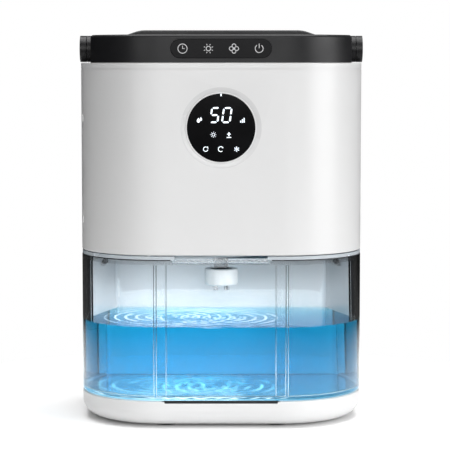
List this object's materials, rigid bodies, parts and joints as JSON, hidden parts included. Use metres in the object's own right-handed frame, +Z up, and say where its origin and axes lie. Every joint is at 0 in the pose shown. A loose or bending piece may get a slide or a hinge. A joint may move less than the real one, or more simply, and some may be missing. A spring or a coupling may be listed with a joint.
{
  "type": "dehumidifier",
  "caption": "Compact dehumidifier with a D-shaped body, clear pull-out water tank with a float, round display, touch strip, folding carry handle and rear intake.",
  "frame": {"origin": "on the floor under the middle of the body", "axes": "+Z up, -Y towards the front with the display, +X to the right seen from the front"},
  "size_m": [0.224, 0.15, 0.31],
  "materials": {
    "white_plastic": "satin white ABS",
    "black_plastic": "fine satin black",
    "black_glass": "glossy black panel",
    "clear_plastic": "clear moulded plastic",
    "dark_seal": "silicone",
    "grey_rubber": "matt",
    "grey_plastic": "matt",
    "steel": "plated",
    "aluminium": "extruded",
    "ceramic": "bare",
    "black_foam": "closed-cell foam",
    "green_board": "solder mask",
    "component_plastic": "moulded",
    "reed_glass": "clear",
    "mesh": "nylon mesh",
    "lit_marks": "lit white marks",
    "water": "clear water, tinted blue",
    "magnet": "ferrite"
  },
  "bodies": {
    "housing": {"base_shell": "white_plastic", "base_plate": "white_plastic", "rubber_feet": "grey_rubber", "base_screws": "steel", "spine_front": "white_plastic", "spine_screws": "steel", "spine_back": "white_plastic", "dc_inlet": "black_plastic", "upper_housing": "white_plastic", "housing_screws": "steel", "display_ring": "white_plastic", "display_glass": "black_glass", "light_shield": "black_plastic", "digit_display": "lit_marks", "display_board": "green_board", "top_cover": "black_plastic", "touch_strip": "black_glass", "touch_board": "green_board", "outlet_grille": "black_plastic", "handle_pins": "steel", "air_duct": "grey_plastic", "fan_frame": "black_plastic", "fan_screws": "steel", "hot_sink": "aluminium", "cold_sink": "aluminium", "peltier_cell": "ceramic", "foam_gasket": "black_foam", "clamp_screws": "steel", "drip_tray": "grey_plastic", "main_board": "green_board", "board_screws": "steel", "board_parts": "component_plastic", "reed_switch": "reed_glass", "humidity_sensor": "green_board"},
    "handle": {"carry_handle": "black_plastic", "handle_caps": "black_plastic"},
    "intake": {"intake_grille": "white_plastic", "filter_frame": "grey_plastic", "filter_mesh": "mesh"},
    "water_tank": {"tank": "clear_plastic", "edge_seals": "dark_seal", "lid_seal": "dark_seal", "tank_lid": "clear_plastic"},
    "float": {"float_ring": "white_plastic", "float_magnet": "magnet"},
    "fan": {"fan_rotor": "black_plastic"}
  },
  "joints": [
    {"name": "tank_slide", "type": "slide", "parent": "housing", "child": "water_tank", "axis": [0, -1, 0], "range_m": [0, 0.13]},
    {"name": "float_rise", "type": "slide", "parent": "water_tank", "child": "float", "axis": [0, 0, 1], "range_m": [0, 0.01]},
    {"name": "handle_swing", "type": "hinge", "parent": "housing", "child": "handle", "pos_m": [0, -0.01, 0.2938], "axis": [1, 0, 0], "range_deg": [0, 90]},
    {"name": "fan_spin", "type": "hinge", "parent": "housing", "child": "fan", "pos_m": [0, -0.01, 0.264], "axis": [0, 0, 1], "continuous": true},
    {"name": "intake_pull", "type": "slide", "parent": "housing", "child": "intake", "axis": [0, 1, 0], "range_m": [0, 0.04]}
  ]
}
